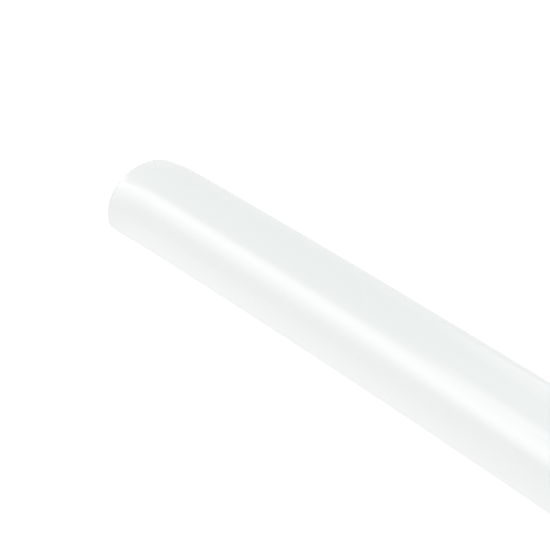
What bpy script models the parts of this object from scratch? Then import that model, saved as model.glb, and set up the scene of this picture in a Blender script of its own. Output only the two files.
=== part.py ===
"""Heat shrink tube: one cut length of thin-wall white polyolefin tubing, lying on its side.

The tube lies along X on the floor, which is z = 0. The cut has pinched its mouth at -X out of round, and its mouth
at +X is round. The tube has kept a slight bow, in the plane of the floor, whose hollow side faces -Y, and each end
is cut square to the tube there. The origin is on the floor, at the middle of the tube's bounding box. All sizes
are in metres.
"""

import math

import bmesh
import bpy
from mathutils import Matrix, Vector

# Catalogue size of the tube as it is supplied, before it is shrunk
BORE_DIAMETER = 0.0254
WALL = 0.0005
LENGTH = 0.5

# The set that the tube has kept: its axis follows an arc of this radius, from end to end
BOW_RADIUS = 4.23

# The cut has pressed the mouth at -X out of round. Half its height is less than the tube's radius by this much, and
# half its width is more by the same. The pinch fades out along a parabola over this length of tube.
MOUTH_PINCH = 0.00102
PINCHED_LENGTH = 0.0147

# Flat faces round the tube, and steps between its rings of points along the pinched mouth and the rest
FACETS = 64
MOUTH_RINGS = 8
BODY_RINGS = 16

TUBE_COLOUR = (0.80, 0.84, 0.83, 1.0)
TUBE_ROUGHNESS = 0.24

bore_radius = BORE_DIAMETER / 2
outer_radius = bore_radius + WALL
pinched_end_x = -LENGTH / 2
round_end_x = LENGTH / 2


def clear_scene():
    """Removes whatever the scene holds."""
    for obj in list(bpy.data.objects):
        bpy.data.objects.remove(obj)


def ring_positions():
    """X of each ring of points along the tube, closer together where the mouth is out of round."""
    body_start = pinched_end_x + PINCHED_LENGTH
    body_length = round_end_x - body_start
    mouth = [pinched_end_x + PINCHED_LENGTH * ring / MOUTH_RINGS for ring in range(MOUTH_RINGS)]
    body = [body_start + body_length * ring / BODY_RINGS for ring in range(BODY_RINGS + 1)]
    return mouth + body


def wall_section(mesh):
    """Adds the outline of the wall as cut along the tube, above the tube's axis, and returns its edges."""
    rings = ring_positions()
    outer_line = [Vector((x, 0, outer_radius)) for x in rings]
    inner_line = [Vector((x, 0, bore_radius)) for x in reversed(rings)]
    corners = [mesh.verts.new(point) for point in outer_line + inner_line]
    return [mesh.edges.new((corners[i - 1], corners[i])) for i in range(len(corners))]


def turn_tube(mesh):
    """Spins the wall's outline once round the X axis, into a straight round tube with a flat facet underneath."""
    section = wall_section(mesh)
    half_facet = math.pi / FACETS
    bmesh.ops.rotate(mesh, cent=(0, 0, 0), matrix=Matrix.Rotation(half_facet, 3, "X"), verts=mesh.verts)
    bmesh.ops.spin(
        mesh,
        geom=mesh.verts[:] + section,
        cent=(0, 0, 0),
        axis=(1, 0, 0),
        angle=2 * math.pi,
        steps=FACETS,
        use_merge=True,
    )
    bmesh.ops.recalc_face_normals(mesh, faces=mesh.faces)


def pinch_at(x):
    """How much less than its radius half the tube's height is, at x."""
    share_left = max(0.0, 1 - (x - pinched_end_x) / PINCHED_LENGTH)
    return MOUTH_PINCH * share_left**2


def pinch_mouth(mesh):
    """Presses one mouth out of round, and sets the straight tube down with its underside on the floor."""
    for corner in mesh.verts:
        x, y, z = corner.co
        radius = math.hypot(y, z)
        pinch = pinch_at(x)
        wider = (radius + pinch) / radius
        lower = (radius - pinch) / radius
        floor_to_axis = outer_radius * math.cos(math.pi / FACETS) * (1 - pinch / outer_radius)
        corner.co = Vector((x, y * wider, z * lower + floor_to_axis))


def bow_tube(mesh):
    """Bends the straight tube along its arc, in the plane of the floor."""
    for corner in mesh.verts:
        x, y, z = corner.co
        turn = x / BOW_RADIUS
        reach = BOW_RADIUS + y
        corner.co = Vector((reach * math.sin(turn), reach * math.cos(turn) - BOW_RADIUS, z))


def centre_on_floor(mesh):
    """Moves the tube so that the origin is at the middle of the bottom of its bounding box."""
    lowest = Vector(min(corner.co[axis] for corner in mesh.verts) for axis in range(3))
    highest = Vector(max(corner.co[axis] for corner in mesh.verts) for axis in range(3))
    middle = (lowest + highest) / 2
    bmesh.ops.translate(mesh, vec=(-middle.x, -middle.y, -lowest.z), verts=mesh.verts)


def tube_material():
    """White polyolefin with the soft gloss that extruding leaves."""
    material = bpy.data.materials.new("white_polyolefin")
    material.use_nodes = True
    shader = material.node_tree.nodes["Principled BSDF"]
    shader.inputs["Base Color"].default_value = TUBE_COLOUR
    shader.inputs["Roughness"].default_value = TUBE_ROUGHNESS
    shader.inputs["Metallic"].default_value = 0.0
    return material


def make_tube():
    """Builds the tube as one object."""
    mesh = bmesh.new()
    turn_tube(mesh)
    pinch_mouth(mesh)
    bow_tube(mesh)
    centre_on_floor(mesh)
    data = bpy.data.meshes.new("heat_shrink_tube")
    mesh.to_mesh(data)
    mesh.free()
    data.materials.append(tube_material())
    data.shade_smooth()
    data.set_sharp_from_angle(angle=math.radians(40))
    tube = bpy.data.objects.new("heat_shrink_tube", data)
    bpy.context.scene.collection.objects.link(tube)
    return tube


clear_scene()
make_tube()
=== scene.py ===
"""Looks of the heat shrink tube: one cut length of thin-wall white polyolefin tubing, lying on its side.

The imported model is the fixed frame, in metres, +Z up. The finely turned tube made here stands for its
one node. It has the same section, bow and pinched mouth, and a small flat pressed into that mouth, which
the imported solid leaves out. It lies on a glowing white floor, inside a studio's light tent, and the camera
looks down on it from the near end, which runs out of the picture.
"""
import logging
import math
from dataclasses import dataclass, field
from enum import Enum

import bmesh
import bpy
from mathutils import Matrix, Vector


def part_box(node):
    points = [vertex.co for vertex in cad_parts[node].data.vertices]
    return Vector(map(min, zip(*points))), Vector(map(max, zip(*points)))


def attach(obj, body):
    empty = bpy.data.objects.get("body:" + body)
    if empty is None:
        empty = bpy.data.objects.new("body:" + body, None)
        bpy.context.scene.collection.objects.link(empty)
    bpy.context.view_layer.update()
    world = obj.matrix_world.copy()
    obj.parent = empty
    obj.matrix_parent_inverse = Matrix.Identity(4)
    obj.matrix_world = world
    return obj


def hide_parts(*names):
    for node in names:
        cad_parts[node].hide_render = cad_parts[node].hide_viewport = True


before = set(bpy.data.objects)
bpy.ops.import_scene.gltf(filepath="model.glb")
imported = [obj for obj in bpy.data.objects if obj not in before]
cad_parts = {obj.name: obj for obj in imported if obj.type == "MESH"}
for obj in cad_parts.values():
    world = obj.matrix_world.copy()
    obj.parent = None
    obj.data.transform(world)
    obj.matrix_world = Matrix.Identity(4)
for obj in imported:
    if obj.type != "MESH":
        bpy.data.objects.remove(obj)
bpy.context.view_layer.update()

CAD_NODE = "heat_shrink_tube"
BODY = "root"

# Mesh attribute that keeps where each point lay on the tube as it left the die, straight and round
STRAIGHT_PLACE = "along_tube"

# A face belongs to a cut where its normal has more than this along the tube
CUT_FACING = 0.5

# UV map of the softboxes
PANEL_UV = "panel"

# Sockets of Blender's colour Mix node, whose names repeat for its other kinds
MIX_SHARE = 0
MIX_FIRST_COLOUR = 6
MIX_SECOND_COLOUR = 7
MIX_COLOUR_OUT = 2

Colour = tuple[float, float, float, float]
Triple = tuple[float, float, float]

log = logging.getLogger("heat_shrink_tube")


class Region(Enum):
    """The parts of the tube's surface that are finished differently, by material index."""

    SKIN = 0
    BORE = 1
    CUT = 2


class Blend(Enum):
    """How a colour ramp passes from one stop to the next."""

    LINEAR = "LINEAR"
    EASE = "EASE"


def light_colour(level: float, warmth: float = 0.0) -> Colour:
    """Returns the colour of a light, for a colour socket.

    Args:
        level: How bright its green and blue are.
        warmth: Share by which its red is brighter than that.

    Returns:
        Red, green, blue and alpha.
    """
    return (level * (1.0 + warmth), level, level, 1.0)


@dataclass(frozen=True)
class Stop:
    """One stop of a ramp: where it lies, from 0 to 1, its level and its warmth."""

    position: float
    level: float
    warmth: float = 0.0


def faded(*stops: Stop) -> tuple[Stop, ...]:
    """Returns a profile that runs through the stops and is dark at both of its edges."""
    return (Stop(0.0, 0.0), *stops, Stop(1.0, 0.0))


class NodeTree:
    """A thin helper that adds and joins the nodes of one material or world."""

    def __init__(self, owner: bpy.types.ID) -> None:
        """Turns the owner's nodes on and starts from an empty tree.

        Args:
            owner: The material or world whose node tree is built.
        """
        owner.use_nodes = True
        self.tree = owner.node_tree
        self.tree.nodes.clear()

    def add(self, kind: str, **settings: object) -> bpy.types.Node:
        """Adds one node.

        Args:
            kind: Blender's name of the node's type.
            settings: Properties of the node, such as its operation.

        Returns:
            The new node.
        """
        node = self.tree.nodes.new(kind)
        for name, value in settings.items():
            setattr(node, name, value)
        return node

    def join(self, source: bpy.types.NodeSocket, target: bpy.types.NodeSocket) -> None:
        """Links an output socket to an input socket."""
        self.tree.links.new(source, target)

    def negative(self, source: bpy.types.NodeSocket) -> bpy.types.NodeSocket:
        """Adds a node that turns a number's sign.

        Args:
            source: The number.

        Returns:
            The output with the opposite number.
        """
        node = self.add("ShaderNodeMath", operation="MULTIPLY")
        node.inputs[1].default_value = -1.0
        self.join(source, node.inputs[0])
        return node.outputs[0]

    def ramp(
        self, source: bpy.types.NodeSocket, stops: tuple[Stop, ...], blend: Blend
    ) -> bpy.types.NodeSocket:
        """Adds a ramp of light colours.

        Args:
            source: The number, from 0 to 1, that the ramp reads.
            stops: The ramp's stops, in order.
            blend: How the ramp passes from stop to stop.

        Returns:
            The ramp's colour output.
        """
        node = self.add("ShaderNodeValToRGB")
        node.color_ramp.interpolation = blend.value
        elements = node.color_ramp.elements
        while len(elements) < len(stops):
            elements.new(1.0)
        for element, stop in zip(elements, stops):
            element.position = stop.position
            element.color = light_colour(stop.level, stop.warmth)
        self.join(source, node.inputs["Fac"])
        return node.outputs["Color"]


@dataclass(frozen=True)
class Grain:
    """A soft noise over the tube: its cells for each metre, along, across and up, and its detail."""

    cells: Triple
    detail: float

    def level(self, nodes: NodeTree) -> bpy.types.NodeSocket:
        """Adds the noise, laid on the tube as it left the die.

        Args:
            nodes: The tree that is built.

        Returns:
            The noise's level, from 0 to 1.
        """
        place = nodes.add("ShaderNodeAttribute", attribute_name=STRAIGHT_PLACE)
        mapping = nodes.add("ShaderNodeMapping", vector_type="POINT")
        mapping.inputs["Scale"].default_value = self.cells
        nodes.join(place.outputs["Vector"], mapping.inputs["Vector"])
        noise = nodes.add("ShaderNodeTexNoise", noise_dimensions="3D")
        noise.inputs["Scale"].default_value = 1.0
        noise.inputs["Detail"].default_value = self.detail
        noise.inputs["Roughness"].default_value = 0.5
        nodes.join(mapping.outputs["Vector"], noise.inputs["Vector"])
        return noise.outputs["Fac"]


@dataclass(frozen=True)
class PolyolefinFinish:
    """One finish of the white polyolefin: its milk, its haze and the lines that extruding leaves along it.

    The colour drifts between milk and haze in soft clouds. The die's lines carry the roughness and the
    bump. Milkiness is the share of light that wanders inside the wall, over the milk depth, before it
    comes out.
    """

    name: str
    milk: Colour
    haze: Colour
    roughness: float
    roughness_swing: float
    line_depth: float
    coat: float = 0.0
    coat_roughness: float = 0.2
    milkiness: float = 0.0
    milk_depth: float = 0.003
    ior: float = 1.5
    clouds: Grain = Grain(cells=(26.0, 90.0, 90.0), detail=2.0)
    die_lines: Grain = Grain(cells=(6.0, 900.0, 900.0), detail=3.0)

    def tint(self, nodes: NodeTree) -> bpy.types.NodeSocket:
        """Mixes the two colours by the clouds.

        Args:
            nodes: The tree that is built.

        Returns:
            The mixed colour.
        """
        mix = nodes.add("ShaderNodeMix", data_type="RGBA", blend_type="MIX")
        mix.inputs[MIX_FIRST_COLOUR].default_value = self.milk
        mix.inputs[MIX_SECOND_COLOUR].default_value = self.haze
        nodes.join(self.clouds.level(nodes), mix.inputs[MIX_SHARE])
        return mix.outputs[MIX_COLOUR_OUT]

    def line_roughness(self, nodes: NodeTree, lines: bpy.types.NodeSocket) -> bpy.types.NodeSocket:
        """Swings the roughness with the die's lines.

        Args:
            nodes: The tree that is built.
            lines: The level of the die's lines.

        Returns:
            The roughness.
        """
        spread = nodes.add("ShaderNodeMapRange")
        spread.inputs["To Min"].default_value = self.roughness - self.roughness_swing
        spread.inputs["To Max"].default_value = self.roughness + self.roughness_swing
        nodes.join(lines, spread.inputs["Value"])
        return spread.outputs["Result"]

    def line_bump(self, nodes: NodeTree, lines: bpy.types.NodeSocket) -> bpy.types.NodeSocket:
        """Raises the die's lines.

        Args:
            nodes: The tree that is built.
            lines: The level of the die's lines.

        Returns:
            The bumped normal.
        """
        bump = nodes.add("ShaderNodeBump")
        bump.inputs["Strength"].default_value = 1.0
        bump.inputs["Distance"].default_value = self.line_depth
        nodes.join(lines, bump.inputs["Height"])
        return bump.outputs["Normal"]

    def material(self) -> bpy.types.Material:
        """Builds the finish as a material.

        Returns:
            A material with one Principled shader, whose colour, roughness and bump follow the tube.
        """
        material = bpy.data.materials.new(self.name)
        nodes = NodeTree(material)
        shader = nodes.add("ShaderNodeBsdfPrincipled")
        output = nodes.add("ShaderNodeOutputMaterial")
        nodes.join(shader.outputs["BSDF"], output.inputs["Surface"])
        shader.inputs["Metallic"].default_value = 0.0
        shader.inputs["IOR"].default_value = self.ior
        shader.inputs["Coat Weight"].default_value = self.coat
        shader.inputs["Coat Roughness"].default_value = self.coat_roughness
        shader.inputs["Subsurface Weight"].default_value = self.milkiness
        shader.inputs["Subsurface Radius"].default_value = (1.0, 1.0, 1.0)
        shader.inputs["Subsurface Scale"].default_value = self.milk_depth

        nodes.join(self.tint(nodes), shader.inputs["Base Color"])
        lines = self.die_lines.level(nodes)
        nodes.join(self.line_roughness(nodes, lines), shader.inputs["Roughness"])
        nodes.join(self.line_bump(nodes, lines), shader.inputs["Normal"])
        return material


@dataclass(frozen=True)
class TubeFinishes:
    """The finishes of the tube's skin, bore and cut faces."""

    skin: PolyolefinFinish = PolyolefinFinish(
        name="white_polyolefin_skin",
        milk=(0.881, 0.921, 0.911, 1.0),
        haze=(0.889, 0.929, 0.920, 1.0),
        roughness=0.24,
        roughness_swing=0.03,
        line_depth=0.000004,
        coat=0.6,
        coat_roughness=0.1,
    )
    bore: PolyolefinFinish = PolyolefinFinish(
        name="white_polyolefin_bore",
        milk=(0.875, 0.905, 0.893, 1.0),
        haze=(0.890, 0.920, 0.908, 1.0),
        roughness=0.38,
        roughness_swing=0.05,
        line_depth=0.000008,
        milkiness=0.7,
    )
    cut: PolyolefinFinish = PolyolefinFinish(
        name="white_polyolefin_cut",
        milk=(0.870, 0.896, 0.882, 1.0),
        haze=(0.905, 0.930, 0.918, 1.0),
        roughness=0.52,
        roughness_swing=0.08,
        line_depth=0.00001,
    )

    def dress(self, data: bpy.types.Mesh) -> None:
        """Gives a mesh its materials, in the order of Region.

        Args:
            data: The tube's mesh.
        """
        finish_of = {Region.SKIN: self.skin, Region.BORE: self.bore, Region.CUT: self.cut}
        for region in Region:
            data.materials.append(finish_of[region].material())


@dataclass(frozen=True)
class Press:
    """A soft push on the pinched mouth's rim, at one angle round the tube.

    The angle is 90 degrees on top of the tube, 180 on its side at -Y and 270 underneath.
    """

    angle: float
    spread: float
    rise: float

    def at(self, angle: float) -> float:
        """Returns how far the rim is pushed out at an angle. Inwards is negative."""
        return self.rise * math.exp(-(((angle - self.angle) / self.spread) ** 2))


@dataclass
class TubeWall:
    """The tube: a thin round wall, cut square at both ends, pinched at one mouth and slightly bowed."""

    bore_diameter: float = 0.0254
    wall: float = 0.0005
    length: float = 0.5
    bow_radius: float = 4.23
    mouth_pinch: float = 0.00102
    pinched_length: float = 0.0147
    mouth_flat: Press = Press(angle=222.0, spread=16.0, rise=-0.0006)
    mouth_ridge: Press = Press(angle=196.0, spread=8.0, rise=0.00033)
    node_facets: int = 64
    facets: int = 160
    mouth_rings: int = 14
    body_rings: int = 110
    rim_radius: float = 0.00012
    rim_segments: int = 3
    finishes: TubeFinishes = field(default_factory=TubeFinishes)

    @property
    def bore_radius(self) -> float:
        """Radius of the bore."""
        return self.bore_diameter / 2

    @property
    def flat_share(self) -> float:
        """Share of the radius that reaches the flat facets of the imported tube."""
        return math.cos(math.pi / self.node_facets)

    @property
    def outer_radius(self) -> float:
        """Radius of the outside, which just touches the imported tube's facets."""
        return (self.bore_radius + self.wall) * self.flat_share

    @property
    def far_end(self) -> float:
        """X of the pinched mouth on the straight tube."""
        return -self.length / 2

    def pinch_share(self, x: float) -> float:
        """Returns the share of the mouth's pinch that is left at x."""
        return max(0.0, 1 - (x - self.far_end) / self.pinched_length) ** 2

    def draw_section(self, mesh: bmesh.types.BMesh) -> list[bmesh.types.BMEdge]:
        """Draws the wall as cut along the tube, with steps along its two long sides.

        Args:
            mesh: The empty mesh.

        Returns:
            The section's edges.
        """
        outer, inner = self.outer_radius, self.outer_radius - self.wall
        fade = self.far_end + self.pinched_length
        round_end = self.length / 2
        places = [
            (self.far_end, inner),
            (self.far_end, outer),
            (fade, outer),
            (round_end, outer),
            (round_end, inner),
            (fade, inner),
        ]
        corners = [mesh.verts.new((x, 0.0, z)) for x, z in places]
        sides = [mesh.edges.new((corners[i - 1], corners[i])) for i in range(len(corners))]
        mouth_sides = [sides[0], sides[2]]
        body_sides = [sides[3], sides[5]]
        bmesh.ops.subdivide_edges(mesh, edges=mouth_sides, cuts=self.mouth_rings - 1)
        bmesh.ops.subdivide_edges(mesh, edges=body_sides, cuts=self.body_rings - 1)
        return mesh.edges[:]

    def spin_wall(self, mesh: bmesh.types.BMesh) -> None:
        """Spins the section once round the X axis.

        Args:
            mesh: The empty mesh, which gets the straight round tube.
        """
        section = self.draw_section(mesh)
        bmesh.ops.spin(
            mesh,
            geom=mesh.verts[:] + section,
            cent=(0, 0, 0),
            axis=(1, 0, 0),
            angle=2 * math.pi,
            steps=self.facets,
            use_merge=True,
        )
        bmesh.ops.recalc_face_normals(mesh, faces=mesh.faces)

    def soften_rims(self, mesh: bmesh.types.BMesh) -> None:
        """Rounds the four rims, as a blade leaves soft plastic.

        Args:
            mesh: The straight round tube.
        """
        half = self.length / 2
        near = self.wall / 10
        rims = [
            edge
            for edge in mesh.edges
            if all(abs(abs(corner.co.x) - half) < near for corner in edge.verts)
            and abs(self.reach(edge.verts[0]) - self.reach(edge.verts[1])) < near
        ]
        bmesh.ops.bevel(
            mesh,
            geom=rims,
            offset=self.rim_radius,
            offset_type="OFFSET",
            segments=self.rim_segments,
            profile=0.5,
            affect="EDGES",
            material=-1,
        )

    @staticmethod
    def reach(corner: bmesh.types.BMVert) -> float:
        """Returns a corner's distance from the X axis."""
        return math.hypot(corner.co.y, corner.co.z)

    def region_of(self, face: bmesh.types.BMFace) -> Region:
        """Tells which region of the straight tube a face belongs to.

        Args:
            face: One face of the wall.

        Returns:
            The cut where the face looks along the tube, and the skin or the bore elsewhere.
        """
        if abs(face.normal.x) > CUT_FACING:
            return Region.CUT
        centre = face.calc_center_median()
        middle = self.outer_radius - self.wall / 2
        return Region.SKIN if math.hypot(centre.y, centre.z) > middle else Region.BORE

    def mark_regions(self, mesh: bmesh.types.BMesh) -> None:
        """Keeps where each corner lies on the straight tube, and gives each face its region.

        Args:
            mesh: The straight round tube.
        """
        along = mesh.verts.layers.float_vector.new(STRAIGHT_PLACE)
        for corner in mesh.verts:
            corner[along] = corner.co
        for face in mesh.faces:
            face.material_index = self.region_of(face).value
            face.smooth = True

    def pinch_mouth(self, mesh: bmesh.types.BMesh) -> None:
        """Presses the far mouth out of round, and sets the tube's underside at z = 0.

        Args:
            mesh: The straight round tube.
        """
        for corner in mesh.verts:
            x, y, z = corner.co
            radius = math.hypot(y, z)
            angle = math.degrees(math.atan2(z, y)) % 360
            share = self.pinch_share(x)
            pinch = self.mouth_pinch * self.flat_share * share
            push = (self.mouth_flat.at(angle) + self.mouth_ridge.at(angle)) * share
            corner.co.y = y * (radius + pinch + push) / radius
            corner.co.z = z * (radius - pinch + push) / radius + self.outer_radius - pinch

    def bow(self, mesh: bmesh.types.BMesh) -> None:
        """Bends the tube along its arc, in the plane of the floor.

        Args:
            mesh: The straight tube.
        """
        for corner in mesh.verts:
            x, y, z = corner.co
            turn = x / self.bow_radius
            reach = self.bow_radius + y
            corner.co = Vector((reach * math.sin(turn), reach * math.cos(turn) - self.bow_radius, z))

    def seat(self, mesh: bmesh.types.BMesh) -> None:
        """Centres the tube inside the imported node's box, with its underside at the box's bottom.

        Args:
            mesh: The bowed tube.
        """
        box_low, box_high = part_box(CAD_NODE)
        low = Vector(min(corner.co[axis] for corner in mesh.verts) for axis in range(3))
        high = Vector(max(corner.co[axis] for corner in mesh.verts) for axis in range(3))
        shift = (box_low + box_high - low - high) / 2
        shift.z = box_low.z - low.z
        bmesh.ops.translate(mesh, vec=shift, verts=mesh.verts)

    def build(self) -> bpy.types.Object:
        """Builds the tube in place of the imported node.

        Returns:
            The tube's object, dressed, riding on its body.
        """
        mesh = bmesh.new()
        self.spin_wall(mesh)
        self.soften_rims(mesh)
        mesh.normal_update()
        self.mark_regions(mesh)
        self.pinch_mouth(mesh)
        self.bow(mesh)
        self.seat(mesh)
        data = bpy.data.meshes.new("tube_wall")
        mesh.to_mesh(data)
        mesh.free()
        self.finishes.dress(data)
        tube = bpy.data.objects.new("tube_wall", data)
        bpy.context.scene.collection.objects.link(tube)
        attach(tube, BODY)
        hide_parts(CAD_NODE)
        return tube


@dataclass(frozen=True)
class Glow:
    """How bright and how warm the tent is at one angle round the tube."""

    angle: float
    radiance: float
    warmth: float = 0.0

    def stop(self) -> Stop:
        """Returns the glow as a stop of the ramp that runs from -180 to 180 degrees."""
        return Stop((self.angle + 180.0) / 360.0, self.radiance, self.warmth)


@dataclass
class LightTent:
    """A bright tent round the tube: its light changes with the angle round the X axis.

    The angle is 0 at the horizon on the camera's side, -90 overhead and 90 straight down, in degrees.
    """

    rear_wall: tuple[Glow, ...] = (Glow(-180.0, 0.94), Glow(-165.0, 0.94), Glow(-145.0, 0.88))
    roof: tuple[Glow, ...] = (Glow(-125.0, 0.87), Glow(-34.0, 0.87))
    front_wall: tuple[Glow, ...] = (Glow(-4.0, 0.76), Glow(14.0, 0.76))
    table: tuple[Glow, ...] = (
        Glow(45.0, 1.055, 0.02),
        Glow(70.0, 1.055, 0.02),
        Glow(95.0, 0.985, 0.005),
        Glow(115.0, 0.93, 0.005),
    )
    rear_foot: tuple[Glow, ...] = (
        Glow(131.0, 0.80),
        Glow(143.0, 0.80),
        Glow(155.0, 0.92),
        Glow(180.0, 0.94),
    )

    def angle_share(self, nodes: NodeTree) -> bpy.types.NodeSocket:
        """Reads the angle round the tube of each direction.

        Args:
            nodes: The tree that is built.

        Returns:
            The angle, as a share from 0 to 1 of the way from -180 to 180 degrees.
        """
        direction = nodes.add("ShaderNodeTexCoord")
        parts = nodes.add("ShaderNodeSeparateXYZ")
        nodes.join(direction.outputs["Generated"], parts.inputs["Vector"])
        angle = nodes.add("ShaderNodeMath", operation="ARCTAN2")
        nodes.join(nodes.negative(parts.outputs["Z"]), angle.inputs[0])
        nodes.join(nodes.negative(parts.outputs["Y"]), angle.inputs[1])
        spread = nodes.add("ShaderNodeMapRange")
        spread.inputs["From Min"].default_value = -math.pi
        spread.inputs["From Max"].default_value = math.pi
        nodes.join(angle.outputs[0], spread.inputs["Value"])
        return spread.outputs["Result"]

    def build(self) -> bpy.types.World:
        """Builds the tent as the scene's world.

        Returns:
            The world.
        """
        world = bpy.data.worlds.new("light_tent")
        nodes = NodeTree(world)
        glows = self.rear_wall + self.roof + self.front_wall + self.table + self.rear_foot
        stops = tuple(glow.stop() for glow in glows)
        light = nodes.ramp(self.angle_share(nodes), stops, Blend.EASE)
        background = nodes.add("ShaderNodeBackground")
        nodes.join(light, background.inputs["Color"])
        output = nodes.add("ShaderNodeOutputWorld")
        nodes.join(background.outputs["Background"], output.inputs["Surface"])
        bpy.context.scene.world = world
        return world


@dataclass
class Softbox:
    """A flat light panel that faces the tube's far end, and fades towards its edges as a diffuser does.

    It stands at an azimuth and an elevation round its aim, and is rolled about the line to it, in degrees.
    Its sides are measured on its own plane, from the point that faces the aim. Its profiles run across it
    and up it, from one edge to the other.
    """

    name: str
    azimuth: float
    left: float
    right: float
    bottom: float
    top: float
    radiance: float
    across: tuple[Stop, ...]
    upward: tuple[Stop, ...]
    distance: float = 1.0
    roll: float = 0.0
    elevation: float = 0.0
    warmth: float = 0.0
    only_mirrored: bool = True
    aim: Triple = (-0.1976, -0.011, 0.0)

    def placed(self) -> Matrix:
        """Works out where the panel stands.

        Returns:
            The matrix that stands the panel up, rolls it and moves it to its place.
        """
        facing = math.radians(self.azimuth)
        raised = math.radians(self.elevation)
        level = Vector((math.cos(facing), math.sin(facing), 0.0))
        outward = level * math.cos(raised) + Vector((0.0, 0.0, math.sin(raised)))
        upright = Matrix.Rotation(math.radians(90) - raised, 4, "X")
        turned = Matrix.Rotation(facing + math.radians(90), 4, "Z")
        rolled = Matrix.Rotation(math.radians(self.roll), 4, outward)
        moved = Matrix.Translation(Vector(self.aim) + outward * self.distance)
        return moved @ rolled @ turned @ upright

    def strength(self, nodes: NodeTree) -> bpy.types.NodeSocket:
        """Multiplies the two profiles and the radiance.

        Args:
            nodes: The tree that is built.

        Returns:
            How strongly each point of the diffuser glows.
        """
        uv = nodes.add("ShaderNodeUVMap", uv_map=PANEL_UV)
        parts = nodes.add("ShaderNodeSeparateXYZ")
        nodes.join(uv.outputs["UV"], parts.inputs["Vector"])
        both = nodes.add("ShaderNodeMath", operation="MULTIPLY")
        nodes.join(nodes.ramp(parts.outputs["Y"], self.upward, Blend.LINEAR), both.inputs[0])
        nodes.join(nodes.ramp(parts.outputs["X"], self.across, Blend.LINEAR), both.inputs[1])
        strength = nodes.add("ShaderNodeMath", operation="MULTIPLY")
        strength.inputs[1].default_value = self.radiance
        nodes.join(both.outputs[0], strength.inputs[0])
        return strength.outputs[0]

    def glow(self) -> bpy.types.Material:
        """Builds the diffuser's material, which lets through what lies behind it.

        Returns:
            The material.
        """
        material = bpy.data.materials.new(self.name)
        nodes = NodeTree(material)
        emission = nodes.add("ShaderNodeEmission")
        emission.inputs["Color"].default_value = light_colour(1.0, self.warmth)
        nodes.join(self.strength(nodes), emission.inputs["Strength"])
        clear = nodes.add("ShaderNodeBsdfTransparent")
        added = nodes.add("ShaderNodeAddShader")
        nodes.join(emission.outputs["Emission"], added.inputs[0])
        nodes.join(clear.outputs["BSDF"], added.inputs[1])
        output = nodes.add("ShaderNodeOutputMaterial")
        nodes.join(added.outputs["Shader"], output.inputs["Surface"])
        return material

    def build(self) -> bpy.types.Object:
        """Builds the panel.

        Returns:
            The panel's object, seen only in reflections and by what it lights.
        """
        mesh = bmesh.new()
        mesh.loops.layers.uv.new(PANEL_UV)
        # The grid is one metre wide and high, until it is scaled
        bmesh.ops.create_grid(mesh, x_segments=1, y_segments=1, size=0.5, calc_uvs=True)
        size = Vector((self.right - self.left, self.top - self.bottom, 1.0))
        middle = Vector(((self.right + self.left) / 2, (self.top + self.bottom) / 2, 0.0))
        bmesh.ops.scale(mesh, vec=size, verts=mesh.verts)
        bmesh.ops.translate(mesh, vec=middle, verts=mesh.verts)
        bmesh.ops.transform(mesh, matrix=self.placed(), verts=mesh.verts)
        data = bpy.data.meshes.new(self.name)
        mesh.to_mesh(data)
        mesh.free()
        data.materials.append(self.glow())
        panel = bpy.data.objects.new(self.name, data)
        panel.visible_camera = False
        panel.visible_diffuse = not self.only_mirrored
        bpy.context.scene.collection.objects.link(panel)
        return panel


@dataclass(frozen=True)
class Highlight:
    """The softbox and cards whose mirror image is the long highlight on the tube.

    They stand on one side and are equally warm. The two cards that overlap the key softbox stand a little
    in front of it.
    """

    azimuth: float = -140.0
    roll: float = 40.0
    warmth: float = 0.1
    card_distance: float = 0.97

    def key(self) -> Softbox:
        """Plans the key softbox, which makes most of the highlight and also lights the tube.

        Returns:
            The key softbox.
        """
        return Softbox(
            name="key_softbox",
            azimuth=self.azimuth,
            left=0.14,
            right=0.95,
            bottom=-0.25,
            top=0.73,
            radiance=1.8,
            across=faded(Stop(0.12, 1.0), Stop(0.95, 1.0)),
            upward=faded(Stop(0.36, 0.42), Stop(0.51, 0.62), Stop(0.68, 1.0), Stop(0.93, 0.7)),
            roll=self.roll,
            warmth=self.warmth,
            only_mirrored=False,
        )

    def mouth(self) -> Softbox:
        """Plans the level card that carries the highlight straight to the far mouth's rim.

        Returns:
            The card.
        """
        return Softbox(
            name="mouth_card",
            azimuth=self.azimuth,
            left=-0.9,
            right=-0.14,
            bottom=0.38,
            top=0.60,
            radiance=1.7,
            across=faded(Stop(0.1, 1.0), Stop(0.9, 1.0)),
            upward=faded(Stop(0.3, 1.0), Stop(0.8, 1.0)),
            warmth=self.warmth,
        )

    def near(self) -> Softbox:
        """Plans the card that widens the highlight upwards, towards the near end.

        Returns:
            The card.
        """
        return Softbox(
            name="near_card",
            azimuth=self.azimuth,
            left=0.58,
            right=1.2,
            bottom=0.60,
            top=1.25,
            radiance=1.9,
            across=faded(Stop(0.12, 1.0), Stop(0.9, 1.0)),
            upward=faded(Stop(0.15, 1.0), Stop(0.5, 0.8)),
            distance=self.card_distance,
            roll=self.roll,
            warmth=self.warmth,
        )

    def shoulder(self) -> Softbox:
        """Plans the card that brightens the highlight's lower shoulder, towards the near end.

        Returns:
            The card.
        """
        return Softbox(
            name="shoulder_card",
            azimuth=self.azimuth,
            left=0.34,
            right=0.80,
            bottom=-0.30,
            top=0.42,
            radiance=1.3,
            across=faded(Stop(0.35, 1.0), Stop(0.9, 1.0)),
            upward=faded(Stop(0.18, 1.0), Stop(0.65, 1.0)),
            distance=self.card_distance,
            roll=self.roll,
            warmth=self.warmth,
        )

    def softboxes(self) -> list[Softbox]:
        """Returns the highlight's softboxes."""
        return [self.key(), self.mouth(), self.near(), self.shoulder()]


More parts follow.
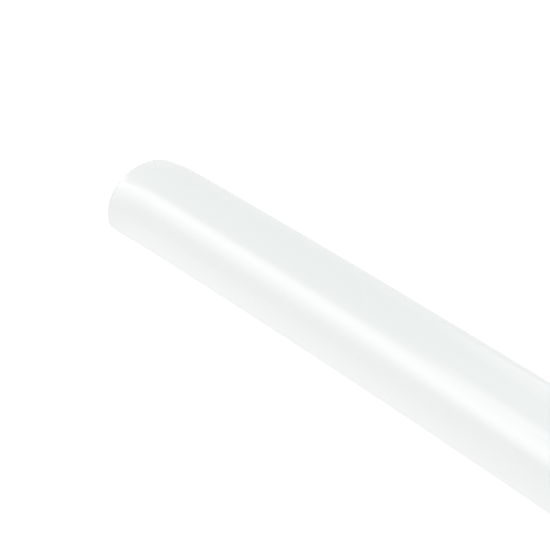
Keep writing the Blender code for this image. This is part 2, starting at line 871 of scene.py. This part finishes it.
@dataclass(frozen=True)
class NearFill:
    """The dim cards that lift the tones of the tube's near part, above and below the highlight."""

    def back(self) -> Softbox:
        """Plans the tall card behind the tube, mirrored in its upper edge.

        Returns:
            The card.
        """
        return Softbox(
            name="back_card",
            azimuth=90.0,
            left=-0.05,
            right=0.60,
            bottom=0.10,
            top=2.7,
            radiance=0.46,
            across=faded(Stop(0.1, 1.0), Stop(0.94, 1.0)),
            upward=faded(Stop(0.1, 0.7), Stop(0.5, 1.0), Stop(0.85, 1.5)),
            roll=-20.8,
            warmth=0.06,
        )

    def overhead(self) -> Softbox:
        """Plans the card overhead, mirrored between the upper edge and the highlight.

        Returns:
            The card.
        """
        return Softbox(
            name="roof_card",
            azimuth=-90.0,
            left=-0.72,
            right=-0.20,
            bottom=-0.46,
            top=0.80,
            radiance=0.34,
            across=faded(Stop(0.16, 1.0), Stop(0.94, 1.0)),
            upward=faded(Stop(0.1, 1.0), Stop(0.7, 0.9)),
            elevation=90.0,
        )

    def front(self) -> Softbox:
        """Plans the low card on the camera's side, mirrored below the highlight.

        Returns:
            The card.
        """
        return Softbox(
            name="front_card",
            azimuth=-90.0,
            left=-0.76,
            right=-0.20,
            bottom=-1.0,
            top=0.05,
            radiance=0.22,
            across=faded(Stop(0.16, 1.0), Stop(0.94, 1.0)),
            upward=faded(Stop(0.3, 0.6), Stop(0.85, 1.0)),
        )

    def softboxes(self) -> list[Softbox]:
        """Returns the dim cards."""
        return [self.back(), self.overhead(), self.front()]


@dataclass
class Floor:
    """The pale floor: a light table that glows white, so that nothing on it throws a shadow."""

    radius: float = 12.0
    glow: float = 1.05
    segments: int = 64

    def material(self) -> bpy.types.Material:
        """Builds the light table's material.

        Returns:
            The material.
        """
        material = bpy.data.materials.new("light_table")
        nodes = NodeTree(material)
        emission = nodes.add("ShaderNodeEmission")
        emission.inputs["Strength"].default_value = self.glow
        output = nodes.add("ShaderNodeOutputMaterial")
        nodes.join(emission.outputs["Emission"], output.inputs["Surface"])
        return material

    def build(self) -> bpy.types.Object:
        """Builds the floor.

        Returns:
            The floor's object, which only the camera sees. The tent stands for its light.
        """
        mesh = bmesh.new()
        bmesh.ops.create_circle(mesh, cap_ends=True, radius=self.radius, segments=self.segments)
        data = bpy.data.meshes.new("floor")
        mesh.to_mesh(data)
        mesh.free()
        data.materials.append(self.material())
        floor = bpy.data.objects.new("floor", data)
        floor.visible_diffuse = False
        floor.visible_glossy = False
        floor.visible_transmission = False
        floor.visible_shadow = False
        bpy.context.scene.collection.objects.link(floor)
        return floor


@dataclass
class Studio:
    """The floor, the light tent and the softboxes."""

    floor: Floor = field(default_factory=Floor)
    tent: LightTent = field(default_factory=LightTent)
    highlight: Highlight = field(default_factory=Highlight)
    near_fill: NearFill = field(default_factory=NearFill)

    def build(self) -> list[bpy.types.Object]:
        """Builds the studio.

        Returns:
            The floor and the softboxes' panels.
        """
        self.tent.build()
        view = bpy.context.scene.view_settings
        view.view_transform = "Standard"
        view.look = "None"
        softboxes = self.highlight.softboxes() + self.near_fill.softboxes()
        return [self.floor.build()] + [softbox.build() for softbox in softboxes]


@dataclass
class PhotoCamera:
    """The camera, level, at the photograph's place and viewing angle."""

    location: Triple = (0.198469, -0.288586, 0.293612)
    azimuth: float = 53.441
    elevation: float = 30.106
    lens: float = 133.04
    sensor: float = 36.0
    nearest: float = 0.01
    farthest: float = 100.0

    def build(self) -> bpy.types.Object:
        """Builds the camera and makes it the scene's own.

        Returns:
            The camera's object.
        """
        data = bpy.data.cameras.new("photo_camera")
        data.sensor_fit = "HORIZONTAL"
        data.sensor_width = self.sensor
        data.lens = self.lens
        data.clip_start = self.nearest
        data.clip_end = self.farthest
        data.dof.use_dof = False
        camera = bpy.data.objects.new("photo_camera", data)
        camera.location = self.location
        camera.rotation_euler = (math.radians(90.0 - self.elevation), 0.0, math.radians(self.azimuth))
        bpy.context.scene.collection.objects.link(camera)
        bpy.context.scene.camera = camera
        return camera


def main() -> None:
    """Builds the camera, the tube and the studio, and reports each piece."""
    logging.basicConfig(level=logging.INFO, format="%(name)s: %(message)s")
    camera = PhotoCamera().build()
    log.info("%s stands in its place", camera.name)
    tube = TubeWall().build()
    log.info("%s has %d faces", tube.name, len(tube.data.polygons))
    for piece in Studio().build():
        log.info("%s stands in the studio", piece.name)


if __name__ == "__main__":
    main()
